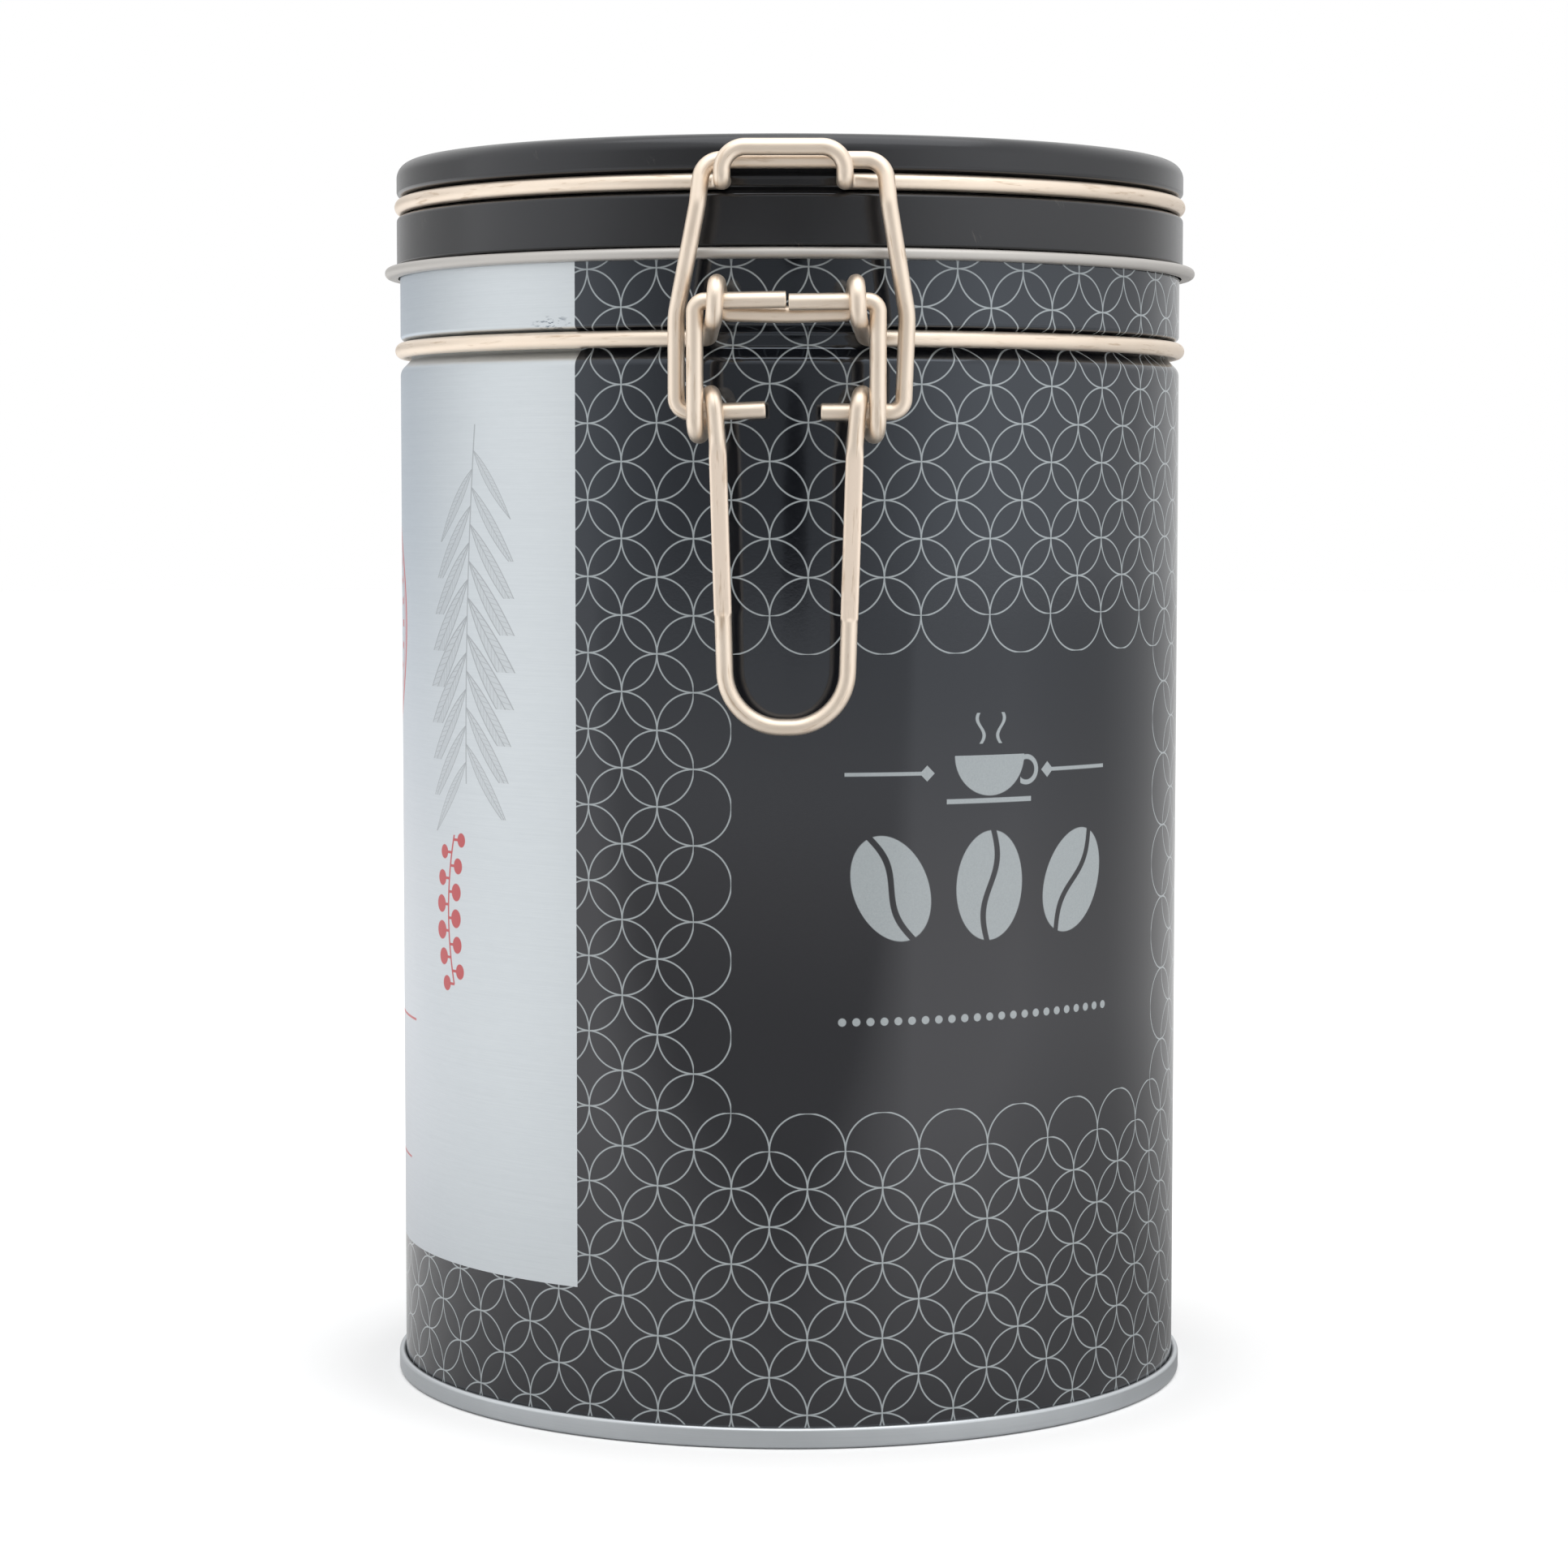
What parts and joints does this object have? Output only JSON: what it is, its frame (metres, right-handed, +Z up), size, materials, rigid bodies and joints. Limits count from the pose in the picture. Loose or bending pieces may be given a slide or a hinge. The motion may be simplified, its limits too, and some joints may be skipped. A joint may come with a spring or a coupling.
{
  "type": "clip-top coffee tin",
  "caption": "Round tinplate storage tin with a wire-hinged airtight lid, silicone gasket and over-centre wire latch.",
  "frame": {"origin": "on the can's axis, at the plane it stands on", "axes": "+Z up along the can's axis, latch facing -Y, hinge facing +Y, +X to the right when the latch is seen from the front"},
  "size_m": [0.0986, 0.1118, 0.1475],
  "materials": {
    "printed_tinplate": "semi-gloss printed tinplate, charcoal with a pale grey ring lattice and one bare brushed panel",
    "bare_tinplate": "bare bright tinplate",
    "black_lacquer": "satin black lacquer",
    "nickel_wire": "polished warm nickel plating",
    "silicone": "soft translucent white silicone",
    "sealing_compound": "matt grey lining compound"
  },
  "bodies": {
    "can": {"body_shell": "printed_tinplate", "base_end": "bare_tinplate", "base_seam_sealant": "sealing_compound", "neck_collar": "bare_tinplate", "collar_seam_sealant": "sealing_compound", "body_ring_wire": "nickel_wire"},
    "lid": {"lid_shell": "black_lacquer", "lid_gasket": "silicone", "lid_ring_wire": "nickel_wire"},
    "lever": {"lever_wire": "nickel_wire"},
    "bail": {"bail_wire": "nickel_wire"}
  },
  "joints": [
    {"name": "lid_hinge", "type": "hinge", "parent": "can", "child": "lid", "pos_m": [0, 0.05295, 0.13], "axis": [-1, 0, 0], "range_deg": [0, 195]},
    {"name": "lever_hinge", "type": "hinge", "parent": "can", "child": "lever", "pos_m": [0, -0.05295, 0.1287], "axis": [-1, 0, 0], "range_deg": [0, 100]},
    {"name": "bail_hinge", "type": "hinge", "parent": "lever", "child": "bail", "pos_m": [0, -0.05087, 0.11665], "axis": [-1, 0, 0], "range_deg": [-61, 0]}
  ],
  "couplings": [
    {"joint": "bail_hinge", "follows": "lever_hinge", "ratio": -0.605}
  ]
}
